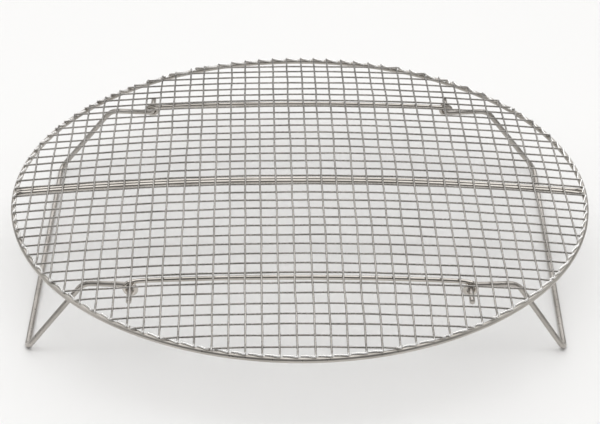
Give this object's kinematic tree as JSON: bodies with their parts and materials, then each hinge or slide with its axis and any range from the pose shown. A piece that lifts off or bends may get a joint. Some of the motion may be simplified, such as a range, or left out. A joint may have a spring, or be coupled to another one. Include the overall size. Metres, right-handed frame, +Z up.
{
  "type": "cooling rack",
  "caption": "Round wire cooling rack with a slightly domed square mesh on a thick rim wire and folding wire legs at its left and right sides.",
  "frame": {"origin": "middle of the floor area under the rack, which stands on its two open legs", "axes": "+Z up, +Y towards the back, X from the left leg to the right leg; the hinges run along Y"},
  "size_m": [0.4569, 0.457, 0.074],
  "materials": {
    "mesh_wire": "bright plated thin wire, slightly dulled",
    "rim_wire": "bright plated rim wire",
    "rod_wire": "bright plated rod",
    "leg_wire": "plated drawn wire with fine lengthwise marks"
  },
  "bodies": {
    "rack": {"rim": "rim_wire", "middle_rod_front": "rod_wire", "middle_rod_back": "rod_wire", "cross_bar_front": "rod_wire", "cross_bar_back": "rod_wire", "front_to_back_wires_01": "mesh_wire", "front_to_back_wires_02": "mesh_wire", "front_to_back_wires_03": "mesh_wire", "front_to_back_wires_04": "mesh_wire", "front_to_back_wires_05": "mesh_wire", "front_to_back_wires_06": "mesh_wire", "front_to_back_wires_07": "mesh_wire", "front_to_back_wires_08": "mesh_wire", "front_to_back_wires_09": "mesh_wire", "front_to_back_wires_10": "mesh_wire", "front_to_back_wires_11": "mesh_wire", "front_to_back_wires_12": "mesh_wire", "front_to_back_wires_13": "mesh_wire", "front_to_back_wires_14": "mesh_wire", "front_to_back_wires_15": "mesh_wire", "front_to_back_wires_16": "mesh_wire", "front_to_back_wires_17": "mesh_wire", "front_to_back_wires_18": "mesh_wire", "side_to_side_wires_01": "mesh_wire", "side_to_side_wires_02": "mesh_wire", "side_to_side_wires_03": "mesh_wire", "side_to_side_wires_04": "mesh_wire", "side_to_side_wires_05": "mesh_wire", "side_to_side_wires_06": "mesh_wire", "side_to_side_wires_07": "mesh_wire", "side_to_side_wires_08": "mesh_wire", "side_to_side_wires_09": "mesh_wire", "side_to_side_wires_10": "mesh_wire", "side_to_side_wires_11": "mesh_wire", "side_to_side_wires_12": "mesh_wire", "side_to_side_wires_13": "mesh_wire", "side_to_side_wires_14": "mesh_wire", "side_to_side_wires_15": "mesh_wire", "side_to_side_wires_16": "mesh_wire", "side_to_side_wires_17": "mesh_wire", "side_to_side_wires_18": "mesh_wire"},
    "left_leg": {"leg_left": "leg_wire"},
    "right_leg": {"leg_right": "leg_wire"}
  },
  "joints": [
    {"name": "left_leg_fold", "type": "hinge", "parent": "rack", "child": "left_leg", "pos_m": [-0.1255, 0, 0.0574], "axis": [0, -1, 0], "range_deg": [0, 145]},
    {"name": "right_leg_fold", "type": "hinge", "parent": "rack", "child": "right_leg", "pos_m": [0.1255, 0, 0.0574], "axis": [0, 1, 0], "range_deg": [0, 145]}
  ]
}
